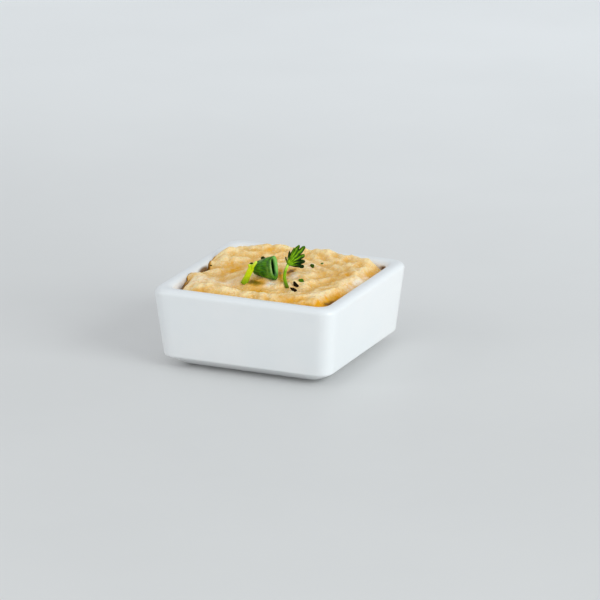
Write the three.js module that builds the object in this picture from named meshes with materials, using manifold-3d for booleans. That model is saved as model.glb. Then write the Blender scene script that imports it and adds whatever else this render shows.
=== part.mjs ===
// A square porcelain dip dish filled to the brim with spoon-swirled hummus, dressed with a
// length of spring onion, a forked yellow-green stalk, a parsley sprig and a few herb flakes.
// Millimetres, +Z up. The origin is the middle of the dish's foot, on the table.
// The dish's sides face +X, -X, +Y and -Y.

import * as THREE from 'three';
import { mergeVertices } from 'three/addons/utils/BufferGeometryUtils.js';
import Module from 'manifold-3d';

const wasm = await Module();
wasm.setup();

// ---------------------------------------------------------------- driving dimensions

const GAP = 0.31; // clearance that the hummus keeps from the dish
const LIP_GAP = 0.45; // and from the rounding of its lip
const DENT_GAP = 0.38; // and from the herbs that press into it

const RIM_SIDE = 90; // outside of the square rim
const DISH_HEIGHT = 38;
const CORNER_RADIUS = 6.2; // upright corners, at the rim
const LIP_THICKNESS = 6.9;
const LIP_OUTER_RADIUS = 2.6;
const LIP_INNER_RADIUS = 3;
const LIP_START = DISH_HEIGHT - LIP_INNER_RADIUS; // where the inner wall turns into the lip
const OPENING_HALF = RIM_SIDE / 2 - LIP_THICKNESS; // half side of the opening under the lip
const WALL_BASE_HALF = 41.6; // half side of the outer wall where it turns under
const WALL_BASE_HEIGHT = 5.8;
const WALL_BASE_RADIUS = 1.5;
const UNDERSIDE_HALF = 34; // half side where the slanted underside turns level
const FOOT_HEIGHT = 1.2;
const FOOT_HALF = 31;
const FOOT_RING_WIDTH = 4;
const FOOT_RECESS = 0.6;
const FLOOR_HEIGHT = 6;
const FLOOR_HALF = 32.5;
const FLOOR_EDGE_HALF = 35.2; // slant between the floor and the inner wall
const FLOOR_EDGE_HEIGHT = 7.4;
const INNER_WALL_BASE_HALF = 36.6;
const INNER_WALL_BASE_HEIGHT = 10;

const SURFACE = {
  wallLevel: 36.6, // height of the hummus where it meets the wall
  crown: 2.5, // rise of the hummus from the wall to its plateau
  shoulder: 7, // width of that rise
  backRise: 0.5, // further rise towards the back wall
  swirlX: -1,
  swirlY: -3,
  swirlRadius: 24, // ring-shaped trough that the spoon leaves
  swirlWidth: 6.5,
  swirlDepth: 2.4,
  ridgeHeight: 0.3, // fine ridges that run round with the swirl
  dimpleHeight: 0.3,
};

const ONION = {
  x: -1.2,
  y: -13.8,
  length: 10.6,
  height: 11.6, // across the flattened tube, upright
  width: 6.2, // across the flattened tube, level
  wall: 2.1,
  taper: 0.56, // height at the back end as a share of the height at the open end
  backRise: 1, // how far its back end is off the hummus
  slant: 0.15, // how much shorter its top and longer its bottom is than its middle
  boreLevel: -0.6, // how far the hollow is off the middle, level
  boreLift: 0.8, // and upright
  squareness: 0.8, // power of the section's oval, 1 for an ellipse and less for a boxier one
  heading: -16, // degrees from +X to the open end
  sink: 0.8, // depth pressed into the hummus
};

const STALK = {
  base: [-9.1, -21],
  fork: [-6.7, -17.9, 44.5],
  frontTip: [-8, -17.7, 46.6],
  backTip: [-4.2, -17.1, 48.2],
  sink: 0.9,
  halfWidth: 1.45,
  forkShare: 0.8, // half width at the fork as a share of that at the base
  tineShare: 0.6,
  tipShare: 0.4,
  halfDepth: 0.8,
};

const SPRIG = {
  base: [11.4, -18.2],
  bends: [[9.7, -16.3, 39.7], [8.2, -14, 41.3], [7.3, -11.1, 43.2]],
  crown: [7.1, -8, 45.1], // where the stem meets the leaf
  sink: 0.5,
  stemRadius: 0.87,
  stemTopRadius: 0.61,
  heading: 113.8, // degrees from +X to the way that the leaf points
  rise: 50, // degrees from level to the leaf
  hub: 0.75, // reach of the leaf behind the crown
  web: 6.2, // reach of the leaf between its fingers
  webFrom: -4,
  webTo: 96,
  thickness: 0.5,
};

// Fingers of the leaf: degrees from straight up, to the right, and sizes
const FINGERS = [
  { turn: -12, length: 4.6, spread: 10 },
  { turn: 7, length: 7.6, spread: 9 },
  { turn: 18, length: 9.6, spread: 9 },
  { turn: 26, length: 12.1, spread: 10 },
  { turn: 37, length: 13.1, spread: 10 },
  { turn: 51, length: 9.9, spread: 13 },
  { turn: 67, length: 8.6, spread: 14 },
  { turn: 84, length: 7.6, spread: 14 },
];

// Snipped herb flakes in the hummus: place, length, width, and heading, nose-down pitch and
// lean in degrees
const FLAKES = [
  { x: 9.5, y: 14.5, length: 2.2, width: 1.8, heading: 24, pitch: 50, lean: 50 },
  { x: 14.7, y: -9.8, length: 2.7, width: 2, heading: 24, pitch: 32, lean: 50 },
  { x: 14.1, y: -14.6, length: 3.7, width: 1.8, heading: 24, pitch: 48, lean: 50 },
  { x: 15.5, y: -20.1, length: 3.6, width: 1.9, heading: 24, pitch: 36, lean: 50 },
  { x: 11.3, y: 21.8, length: 1.6, width: 0.8, heading: 24, pitch: 5, lean: 30 },
  { x: -16.4, y: 16.6, length: 2.4, width: 1.9, heading: 20, pitch: -25, lean: 50 },
  { x: -18.5, y: 8.9, length: 2, width: 1.3, heading: 15, pitch: 10, lean: 30 },
  { x: -36.9, y: 4.8, length: 1.7, width: 1.1, heading: 70, pitch: 20, lean: 30 },
];
const FLAKE_THICKNESS = 0.8;
const FLAKE_SINK = 0.25; // depth pressed into the hummus

// ---------------------------------------------------------------- solids and outlines

function weld(geometry) {
  geometry.deleteAttribute('normal');
  geometry.deleteAttribute('uv');
  const merged = mergeVertices(geometry, 1e-4);
  const kept = [];
  for (let i = 0; i < merged.index.count; i += 3) {
    const corners = [0, 1, 2].map((k) => merged.index.getX(i + k));
    if (new Set(corners).size === 3) kept.push(...corners);
  }
  merged.setIndex(kept);
  return merged;
}

function toSolid(geometry) {
  const welded = weld(geometry);
  return new wasm.Manifold(new wasm.Mesh({
    numProp: 3,
    vertProperties: new Float32Array(welded.attributes.position.array),
    triVerts: new Uint32Array(welded.index.array),
  }));
}

function toGeometry(solid) {
  const mesh = solid.getMesh();
  const geometry = new THREE.BufferGeometry();
  geometry.setAttribute('position', new THREE.BufferAttribute(mesh.vertProperties, 3));
  geometry.setIndex(new THREE.BufferAttribute(mesh.triVerts, 1));
  return geometry;
}

function radians(degrees) {
  return THREE.MathUtils.degToRad(degrees);
}

// Lathe whose points are then moved: place gets the share of the turn, the point's row in the
// profile, and the turned point to set
function shapedLathe(profile, segments, place) {
  const geometry = new THREE.LatheGeometry(profile, segments);
  const position = geometry.attributes.position;
  const point = new THREE.Vector3();
  for (let i = 0; i <= segments; i++) {
    for (let row = 0; row < profile.length; row++) {
      const index = i * profile.length + row;
      point.fromBufferAttribute(position, index);
      place((i % segments) / segments, row, point);
      position.setXYZ(index, point.x, point.y, point.z);
    }
  }
  return geometry;
}

// Point of a rounded square of half side 1 at a share of a turn, starting on +X. Each quarter
// turn is a straight, a corner arc and a straight; straightShare is the share of its steps
// that each straight takes.
function roundedSquare(turn, straightShare) {
  const radius = CORNER_RADIUS / (RIM_SIDE / 2);
  const quarter = Math.floor(turn * 4);
  const step = turn * 4 - quarter;
  const point = new THREE.Vector2();
  if (step < straightShare) {
    point.set(1, (1 - radius) * step / straightShare);
  } else if (step > 1 - straightShare) {
    point.set((1 - radius) * (1 - step) / straightShare, 1);
  } else {
    const angle = (step - straightShare) / (1 - 2 * straightShare) * Math.PI / 2;
    point.set(1 - radius + radius * Math.cos(angle), 1 - radius + radius * Math.sin(angle));
  }
  return point.rotateAround(new THREE.Vector2(), quarter * Math.PI / 2);
}

// Body whose level sections are rounded squares; the profile holds half sides and heights
function squareLathe(profile, segments, straightShare, shape = () => {}) {
  return shapedLathe(profile, segments, (turn, row, point) => {
    const unit = roundedSquare(turn, straightShare);
    point.set(unit.x * profile[row].x, unit.y * profile[row].x, profile[row].y);
    shape(point, row);
  });
}

function arc(centreX, centreY, radius, fromDegrees, toDegrees, steps) {
  const points = [];
  for (let i = 0; i <= steps; i++) {
    const angle = radians(THREE.MathUtils.lerp(fromDegrees, toDegrees, i / steps));
    points.push(new THREE.Vector2(
      centreX + radius * Math.cos(angle),
      centreY + radius * Math.sin(angle),
    ));
  }
  return points;
}

// ---------------------------------------------------------------- dish

const DISH_SEGMENTS = 48;
const DISH_STRAIGHT_SHARE = 2 / 12;
const LIP_STEPS = 5;
const WALL_BASE_STEPS = 3;
const UNDERSIDE_SLANT = 32; // degrees from level
const WALL_SLANT = 84;

function dishGeometry() {
  const half = RIM_SIDE / 2;
  const footInner = FOOT_HALF - FOOT_RING_WIDTH;
  const profile = [
    new THREE.Vector2(0, FOOT_RECESS),
    new THREE.Vector2(footInner - FOOT_RECESS, FOOT_RECESS),
    new THREE.Vector2(footInner, 0),
    new THREE.Vector2(FOOT_HALF, 0),
    new THREE.Vector2(FOOT_HALF, FOOT_HEIGHT),
    new THREE.Vector2(UNDERSIDE_HALF, FOOT_HEIGHT),
    ...arc(WALL_BASE_HALF - WALL_BASE_RADIUS, WALL_BASE_HEIGHT + WALL_BASE_RADIUS / 2,
      WALL_BASE_RADIUS, UNDERSIDE_SLANT - 90, WALL_SLANT - 90, WALL_BASE_STEPS),
    ...arc(half - LIP_OUTER_RADIUS, DISH_HEIGHT - LIP_OUTER_RADIUS, LIP_OUTER_RADIUS,
      0, 90, LIP_STEPS),
    ...arc(OPENING_HALF + LIP_INNER_RADIUS, LIP_START, LIP_INNER_RADIUS, 90, 180, LIP_STEPS),
    ...innerWallProfile().reverse(),
  ];
  return squareLathe(profile, DISH_SEGMENTS, DISH_STRAIGHT_SHARE);
}

// Inside of the dish from the middle of its floor up to the start of the wall
function innerWallProfile() {
  return [
    new THREE.Vector2(0, FLOOR_HEIGHT),
    new THREE.Vector2(FLOOR_HALF, FLOOR_HEIGHT),
    new THREE.Vector2(FLOOR_EDGE_HALF, FLOOR_EDGE_HEIGHT),
    new THREE.Vector2(INNER_WALL_BASE_HALF, INNER_WALL_BASE_HEIGHT),
  ];
}

// Half side of the inside of the dish at a height, along the wall and the lip's rounding
function innerHalf(height) {
  const aboveWall = height - LIP_START;
  if (aboveWall > 0) {
    return OPENING_HALF + LIP_INNER_RADIUS - Math.sqrt(LIP_INNER_RADIUS ** 2 - aboveWall ** 2);
  }
  const share = (height - INNER_WALL_BASE_HEIGHT) / (LIP_START - INNER_WALL_BASE_HEIGHT);
  return THREE.MathUtils.lerp(INNER_WALL_BASE_HALF, OPENING_HALF, share);
}

// ---------------------------------------------------------------- hummus

const HUMMUS_SEGMENTS = 128;
const HUMMUS_STRAIGHT_SHARE = 14 / 32;
const TOP_RINGS = 20;
const OUTER_RING_HALF = 36.4;
const SIDE_STEPS = 2; // steps of its side along the rounding of the lip
const SIDE_LEAST = 0.5; // least height of those steps together
const EDGE_DROP = 1; // how far under the rim its edge stops following that rounding

// Mounds and hollows that the spoon left: middle, reach along and across a heading, and rise
const FEATURES = [
  { name: 'mound under the garnish', at: [0, -8], reach: [14, 9], heading: 20, rise: 1.5 },
  { name: 'left trough', at: [-23, -3], reach: [9, 6], heading: 70, rise: -0.9 },
  { name: 'right trough', at: [24, 1], reach: [14, 7], heading: 105, rise: -0.8 },
  { name: 'left spoon ridge', at: [-27, 9], reach: [9, 2.6], heading: 40, rise: 0.8 },
  { name: 'back left lobe', at: [-35.3, 15.2], reach: [10.3, 4.5], heading: 60, rise: 3.6 },
  { name: 'lobe behind the spoon ridge', at: [-21, 29], reach: [8, 5], heading: 30, rise: 2.3 },
  { name: 'end of that lobe', at: [-17, 30.6], reach: [5, 3.5], heading: 60, rise: -0.4 },
  { name: 'back ridge', at: [1, 33.5], reach: [16, 5], heading: 4, rise: 2.1 },
  { name: 'right end of the back ridge', at: [10.6, 33.6], reach: [2.6, 4], heading: 0, rise: 1.1 },
  { name: 'back right shelf', at: [25.5, 31], reach: [12, 6], heading: 0, rise: 0.9 },
  { name: 'right ridge', at: [33.2, 9], reach: [13, 3.2], heading: 90, rise: 1 },
  { name: 'front right knoll', at: [29.5, -27.4], reach: [7, 5], heading: 20, rise: 1.1 },
  { name: 'front ridge', at: [-4, -32.8], reach: [24, 3.5], heading: 0, rise: 0.7 },
  { name: 'front left lobe', at: [-36.6, -14.9], reach: [3.8, 7.5], heading: 20, rise: 2 },
  { name: 'flat right of that lobe', at: [-31.2, -9.3], reach: [5.3, 6], heading: 0, rise: -2.8 },
  { name: 'sag along the left wall', at: [-44.7, -6], reach: [32, 6], heading: 90, rise: -2.3 },
  { name: 'notch by the left wall', at: [-34.7, 1.6], reach: [6.4, 3.2], heading: 20, rise: -3.6 },
  { name: 'hollow by the left wall', at: [-40.2, -37.7], reach: [9.9, 9], heading: 90, rise: -8 },
  { name: 'back left hollow', at: [-40.5, 24.8], reach: [12, 3.1], heading: 90, rise: -4.4 },
  { name: 'back left corner', at: [-35.6, 35.6], reach: [13, 7], heading: 10, rise: -1.7 },
  { name: 'back right corner', at: [39.6, 38.5], reach: [9.5, 9], heading: 90, rise: -5.6 },
  { name: 'crack by the right wall', at: [36, -23.5], reach: [13, 2.2], heading: 90, rise: -2.4 },
];

function featureHeight(feature, x, y) {
  const [middleX, middleY] = feature.at;
  const [reachAlong, reachAcross] = feature.reach;
  const cos = Math.cos(radians(feature.heading));
  const sin = Math.sin(radians(feature.heading));
  const along = ((x - middleX) * cos + (y - middleY) * sin) / reachAlong;
  const across = ((y - middleY) * cos - (x - middleX) * sin) / reachAcross;
  return feature.rise * Math.exp(-along * along - across * across);
}

// Fine ridges round the swirl, which wander in and out a little
function ridgeHeight(x, y, radius, turn) {
  const wander = 2.2 * Math.sin(0.11 * x + 0.19 * y + 0.6)
    + 1.3 * Math.sin(0.23 * x - 0.14 * y + 2.1);
  const strength = 0.6 + 0.4 * Math.sin(turn + 0.8);
  const clearOfMiddle = THREE.MathUtils.smoothstep(radius, 8, 16);
  return SURFACE.ridgeHeight * strength * clearOfMiddle * Math.sin(0.9 * (radius + wander));
}

function dimpleHeight(x, y) {
  const wide = Math.sin(0.42 * x + 1.2) * Math.sin(0.37 * y - 0.12 * x);
  const narrow = Math.sin(0.71 * x - 0.33 * y) * Math.sin(0.28 * x + 0.63 * y + 1.7);
  return SURFACE.dimpleHeight * (wide + 0.7 * narrow);
}

// Height of the top of the hummus above the table
function surfaceHeight(x, y) {
  const s = SURFACE;
  const wallDistance = OPENING_HALF - Math.max(Math.abs(x), Math.abs(y));
  const dx = x - s.swirlX;
  const dy = y - s.swirlY;
  const radius = Math.hypot(dx, dy);
  const turn = Math.atan2(dy, dx);
  const shallowAtBack = 0.68 - 0.32 * Math.sin(turn);
  const offRing = (radius - s.swirlRadius) / s.swirlWidth;
  let height = s.wallLevel + s.crown * THREE.MathUtils.smoothstep(wallDistance, 0, s.shoulder);
  height += s.backRise * THREE.MathUtils.smoothstep(y, 20, 40);
  height -= s.swirlDepth * shallowAtBack * Math.exp(-offRing * offRing);
  height += ridgeHeight(x, y, radius, turn) + dimpleHeight(x, y);
  for (const feature of FEATURES) height += featureHeight(feature, x, y);
  return height;
}

function hummusGeometry() {
  const profile = innerWallProfile().map((p) => (
    new THREE.Vector2(Math.max(p.x - GAP, 0), p.y + GAP)
  ));
  const sideRow = profile.length;
  const edgeRow = sideRow + SIDE_STEPS;
  const edgeHalf = innerHalf(SURFACE.wallLevel);
  for (let row = sideRow; row <= edgeRow; row++) {
    profile.push(new THREE.Vector2(edgeHalf, DISH_HEIGHT));
  }
  for (let ring = 0; ring <= TOP_RINGS; ring++) {
    const half = OUTER_RING_HALF * (1 - ring / TOP_RINGS);
    profile.push(new THREE.Vector2(half, DISH_HEIGHT));
  }
  return squareLathe(profile, HUMMUS_SEGMENTS, HUMMUS_STRAIGHT_SHARE, (point, row) => {
    if (row < sideRow) return;
    point.z = surfaceHeight(point.x, point.y);
    if (row > edgeRow) return;
    const high = Math.min(point.z, DISH_HEIGHT - EDGE_DROP);
    const low = Math.min(LIP_START, high - SIDE_LEAST);
    const level = THREE.MathUtils.lerp(low, high, (row - sideRow) / SIDE_STEPS);
    const scale = (innerHalf(level) - LIP_GAP) / edgeHalf;
    point.x *= scale;
    point.y *= scale;
    if (row < edgeRow) point.z = level;
  });
}

function flakeSolid(flake) {
  const geometry = new THREE.OctahedronGeometry(1, 1);
  geometry.scale(flake.length / 2, flake.width / 2, FLAKE_THICKNESS / 2);
  geometry.rotateX(radians(flake.lean));
  geometry.rotateY(radians(flake.pitch));
  geometry.rotateZ(radians(flake.heading));
  const lift = 0.3 * flake.length * Math.abs(Math.sin(radians(flake.pitch)))
    + 0.2 * flake.width * Math.sin(radians(flake.lean)) - FLAKE_SINK;
  geometry.translate(flake.x, flake.y, surfaceHeight(flake.x, flake.y) + lift);
  return toSolid(geometry);
}

// Hummus with its flakes, dented where the spring onion, stalk and sprig press into it
function dressedHummus() {
  let solid = toSolid(hummusGeometry());
  for (const flake of FLAKES) solid = solid.add(flakeSolid(flake));
  solid = solid.subtract(onionBody(-DENT_GAP, DENT_GAP));
  solid = solid.subtract(stalkSolid(DENT_GAP)).subtract(stemSolid(DENT_GAP));
  return toGeometry(solid);
}

// ---------------------------------------------------------------- spring onion

const ONION_SEGMENTS = 32;
const ONION_CHAMFER = 0.4;
const BORE_OVERRUN = 1; // how far the cutter of the hollow reaches past each end

// Flattened solid leaf lying along its heading, its skin moved in by inset, each end moved
// out by longer, and its section moved off the middle
function onionBody(inset, longer, offLevel = 0, offUpright = 0) {
  const end = ONION.length / 2 + longer;
  const rim = 1 - ONION_CHAMFER / (ONION.width / 2);
  const profile = [
    new THREE.Vector2(0, -end),
    new THREE.Vector2(rim, -end),
    new THREE.Vector2(1, ONION_CHAMFER - end),
    new THREE.Vector2(1, 0),
    new THREE.Vector2(1, end - ONION_CHAMFER),
    new THREE.Vector2(rim, end),
    new THREE.Vector2(0, end),
  ];
  const geometry = shapedLathe(profile, ONION_SEGMENTS, (turn, row, point) => {
    const { x: share, y: along } = profile[row];
    const backShare = 0.5 - along / ONION.length;
    const taper = THREE.MathUtils.lerp(1, ONION.taper, backShare);
    const level = ONION.width / 2 - inset;
    const upright = ONION.height / 2 * taper - inset;
    const lowered = ONION.height / 2 * (1 - taper) - ONION.backRise * backShare;
    const flat = share * squared(Math.cos(turn * Math.PI * 2));
    const tall = share * squared(Math.sin(turn * Math.PI * 2));
    point.set(
      along * (1 - ONION.slant * tall),
      level * flat + offLevel,
      upright * tall - lowered + offUpright,
    );
  });
  geometry.rotateZ(radians(ONION.heading));
  const bottom = surfaceHeight(ONION.x, ONION.y) - ONION.sink;
  geometry.translate(ONION.x, ONION.y, bottom + ONION.height / 2);
  return toSolid(geometry);
}

// Moves a sine or cosine outwards, which makes an oval boxier
function squared(wave) {
  return Math.sign(wave) * Math.abs(wave) ** ONION.squareness;
}

function onionSolid() {
  const bore = onionBody(ONION.wall, BORE_OVERRUN, ONION.boreLevel, ONION.boreLift);
  return onionBody(0, 0).subtract(bore);
}

// ---------------------------------------------------------------- stalk and sprig

// The way that the flat sides of the stalk face
const FACING = new THREE.Vector3(0.387, -0.877, 0.286);
const TIP_SHARE = 0.6; // width of a bar's end as a share of the width just before it

// Bar of oval section along a smooth path, narrowing from one half width to another
function bar(points, halfWidths, halfDepths, sides, steps) {
  const corners = points.map((p) => new THREE.Vector3(...p));
  const path = new THREE.CatmullRomCurve3(corners, false, 'catmullrom');
  const profile = [new THREE.Vector2(0, 0)];
  for (let i = 0; i < steps; i++) profile.push(new THREE.Vector2(1, i / steps));
  profile.push(new THREE.Vector2(TIP_SHARE, 1), new THREE.Vector2(0, 1));
  return toSolid(shapedLathe(profile, sides, (turn, row, point) => {
    const along = profile[row].y;
    const width = THREE.MathUtils.lerp(...halfWidths, along);
    const depth = THREE.MathUtils.lerp(...halfDepths, along);
    const tangent = path.getTangent(along);
    const across = tangent.clone().cross(FACING).normalize();
    const front = across.clone().cross(tangent);
    const { x: right, z: ahead } = point;
    point.copy(path.getPoint(along));
    point.addScaledVector(across, right * width).addScaledVector(front, ahead * depth);
  }));
}

// Point beyond first, on the far side from second
function beyond(first, second, distance) {
  const point = new THREE.Vector3(...first);
  const away = point.clone().sub(new THREE.Vector3(...second)).normalize();
  return point.addScaledVector(away, distance).toArray();
}

function stalkSolid(grow = 0) {
  const [x, y] = STALK.base;
  const base = [x, y, surfaceHeight(x, y) + STALK.halfDepth - STALK.sink];
  const { fork, frontTip, backTip } = STALK;
  const width = (share) => STALK.halfWidth * share + grow;
  const depths = [STALK.halfDepth + grow, STALK.halfDepth + grow];
  const main = [beyond(base, fork, grow), fork, beyond(fork, base, STALK.halfDepth)];
  const tine = [width(STALK.tineShare), width(STALK.tipShare)];
  return bar(main, [width(1), width(STALK.forkShare)], depths, 10, 8)
    .add(bar([fork, frontTip], tine, depths, 10, 4))
    .add(bar([fork, backTip], tine, depths, 10, 4));
}

function stemSolid(grow = 0) {
  const [x, y] = SPRIG.base;
  const base = [x, y, surfaceHeight(x, y) + SPRIG.stemRadius - SPRIG.sink];
  const root = beyond(base, SPRIG.bends[0], grow);
  const radii = [SPRIG.stemRadius + grow, SPRIG.stemTopRadius + grow];
  return bar([root, ...SPRIG.bends, SPRIG.crown], radii, radii, 10, 14);
}

const LEAF_SEGMENTS = 90;
const FAN_SEGMENTS = 76; // those of them that lie where the fingers are
const FAN_FROM = -40; // degrees
const FAN_TO = 110;
const LEAF_RINGS = 6;

// Direction from the crown, in degrees from straight up, at a share of the way round the leaf
function leafTurn(share) {
  const fanShare = FAN_SEGMENTS / LEAF_SEGMENTS;
  if (share < fanShare) return THREE.MathUtils.lerp(FAN_FROM, FAN_TO, share / fanShare);
  return THREE.MathUtils.mapLinear(share, fanShare, 1, FAN_TO, FAN_FROM + 360);
}

// Distance from the crown to the leaf's edge in a direction
function leafReach(turn) {
  const middle = (SPRIG.webFrom + SPRIG.webTo) / 2;
  const off = Math.min(Math.abs(turn - middle) / (SPRIG.webTo - middle), 1);
  let reach = Math.max(SPRIG.hub, SPRIG.web * Math.sqrt(1 - off ** 4));
  for (const finger of FINGERS) {
    const share = Math.min(Math.abs(turn - finger.turn) / finger.spread, 1);
    reach = Math.max(reach, finger.length * (1 - share ** 2.2) ** 0.7);
  }
  return reach;
}

// How far the leaf is bent forwards: it arches back and is creased along each finger
function leafBend(right, up, turn) {
  const distance = Math.hypot(right, up);
  const side = right - 0.55 * up;
  let crease = -0.5;
  for (const finger of FINGERS) crease += Math.exp(-(((turn - finger.turn) / 4.5) ** 2));
  const arch = -0.05 * side * side - 0.012 * distance * distance;
  const ripple = 0.25 * Math.sin(1.7 * right + 0.9 * up);
  return arch + ripple + 0.55 * crease * Math.min(distance / 8, 1);
}

// Thin leaf, spread like a hand from the crown, whose two faces follow each other
function leafSolid() {
  const half = SPRIG.thickness / 2;
  const profile = [];
  for (let ring = 0; ring <= LEAF_RINGS; ring++) {
    const share = ring / LEAF_RINGS;
    profile.push(new THREE.Vector2(share, half * (1 - 0.75 * share ** 6)));
  }
  const back = profile.map((p) => new THREE.Vector2(p.x, -p.y));
  profile.reverse();
  const across = new THREE.Vector3(0, -1, 0).applyAxisAngle(
    new THREE.Vector3(0, 0, 1),
    radians(SPRIG.heading),
  );
  const ahead = new THREE.Vector3(1, 0, 0);
  ahead.applyAxisAngle(new THREE.Vector3(0, 1, 0), -radians(SPRIG.rise));
  ahead.applyAxisAngle(new THREE.Vector3(0, 0, 1), radians(SPRIG.heading));
  const outward = across.clone().cross(ahead);
  const section = [...back, ...profile];
  return toSolid(shapedLathe(section, LEAF_SEGMENTS, (share, row, point) => {
    const turn = leafTurn(share);
    const distance = leafReach(turn) * section[row].x;
    const right = distance * Math.sin(radians(turn));
    const up = distance * Math.cos(radians(turn));
    const lift = leafBend(right, up, turn) - section[row].y;
    point.set(...SPRIG.crown);
    point.addScaledVector(across, right).addScaledVector(ahead, up);
    point.addScaledVector(outward, lift);
  }));
}

// ---------------------------------------------------------------- the whole

const LOOKS = {
  dish: { color: 0xeef1f2, roughness: 0.2, metalness: 0 },
  hummus: { color: 0xdcb87e, roughness: 0.7, metalness: 0 },
  onion: { color: 0x2f7a2c, roughness: 0.35, metalness: 0 },
  stalk: { color: 0xb2cc10, roughness: 0.4, metalness: 0 },
  parsley: { color: 0x3f7d14, roughness: 0.45, metalness: 0 },
};

function piece(name, geometry, look) {
  const mesh = new THREE.Mesh(geometry, new THREE.MeshStandardMaterial(look));
  mesh.name = name;
  return mesh;
}

const whole = new THREE.Group();
whole.add(
  piece('dish', weld(dishGeometry()), LOOKS.dish),
  piece('hummus', dressedHummus(), LOOKS.hummus),
  piece('spring_onion', toGeometry(onionSolid()), LOOKS.onion),
  piece('forked_stalk', toGeometry(stalkSolid()), LOOKS.stalk),
  piece('parsley_sprig', toGeometry(stemSolid().add(leafSolid())), LOOKS.parsley),
);

export default whole;
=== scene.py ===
"""Dresses a square porcelain dish of spoon-swirled hummus with its herbs for a studio view.

Every size is in millimetres until a mesh or a light is made, where MM turns it into metres.
"""

import logging
import math
from dataclasses import dataclass
from enum import Enum

import bpy
import numpy as np
from mathutils import Matrix, Vector


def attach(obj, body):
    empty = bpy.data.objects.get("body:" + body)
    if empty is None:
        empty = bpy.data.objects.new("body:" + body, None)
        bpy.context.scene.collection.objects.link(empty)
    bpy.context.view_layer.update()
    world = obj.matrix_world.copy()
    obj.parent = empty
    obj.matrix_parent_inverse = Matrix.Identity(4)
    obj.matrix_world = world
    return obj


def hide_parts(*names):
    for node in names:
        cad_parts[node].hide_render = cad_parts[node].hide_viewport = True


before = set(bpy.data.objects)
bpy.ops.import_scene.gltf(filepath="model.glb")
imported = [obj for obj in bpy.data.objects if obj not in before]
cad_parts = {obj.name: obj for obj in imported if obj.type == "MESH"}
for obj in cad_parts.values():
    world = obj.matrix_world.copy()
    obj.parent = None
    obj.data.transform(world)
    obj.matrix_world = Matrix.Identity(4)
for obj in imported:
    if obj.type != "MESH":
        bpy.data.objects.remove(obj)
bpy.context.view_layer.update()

log = logging.getLogger("hummus_dish")

MM = 0.001
ROOT = "root"
NOISE_SPAN = (0.3, 0.7)  # where most of a cloudy noise lies
LATTICE = 256  # points along a side of the random hills
FLAT_FACING = (0.387, -0.877, 0.286)  # where the flat side of a stalk faces

Array = np.ndarray
Point = tuple[float, float, float]
Colour = tuple[float, float, float]
Pair = tuple[float, float]
Mesh = tuple[Array, list]  # points, and the point numbers of each face
Socket = bpy.types.NodeSocket
Material = bpy.types.Material
Piece = bpy.types.Object


class Layer(Enum):
    """Values that a mesh stores at its points and a material reads."""

    INSIDE = "inside"
    LIP = "lip"
    HOLLOW_SHADE = "hollow"
    OIL_AND_PAINTED_LIGHT = "oil_and_painted_light"
    PAINTED_HIGHLIGHTS = "painted_highlights"
    EDGE_STAIN_AND_SHADE = "edge"
    DAMP_AND_SHADE = "damp_and_shade"
    RIM = "rim"
    PAINTED_SHEEN = "painted_sheen"
    REACH = "reach"
    VEIN = "vein"
    SHADE = "shade"


def linear(red: int, green: int, blue: int) -> Colour:
    """Turns a display colour, 0 to 255, into linear light, 0 to 1."""
    shares = (value / 255 for value in (red, green, blue))
    return tuple(s / 12.92 if s <= 0.04045 else ((s + 0.055) / 1.055) ** 2.4 for s in shares)


def smoothstep(value: Array, low: float, high: float) -> Array:
    """Eases from 0 at low to 1 at high."""
    share = np.clip((value - low) / (high - low), 0, 1)
    return share * share * (3 - 2 * share)


def bell(value: Array, middle: float, width: float) -> Array:
    """Rises smoothly to 1 at the middle and falls again, to about a third at the width."""
    return np.exp(-((value - middle) / width) ** 2)


# ---- materials


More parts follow.
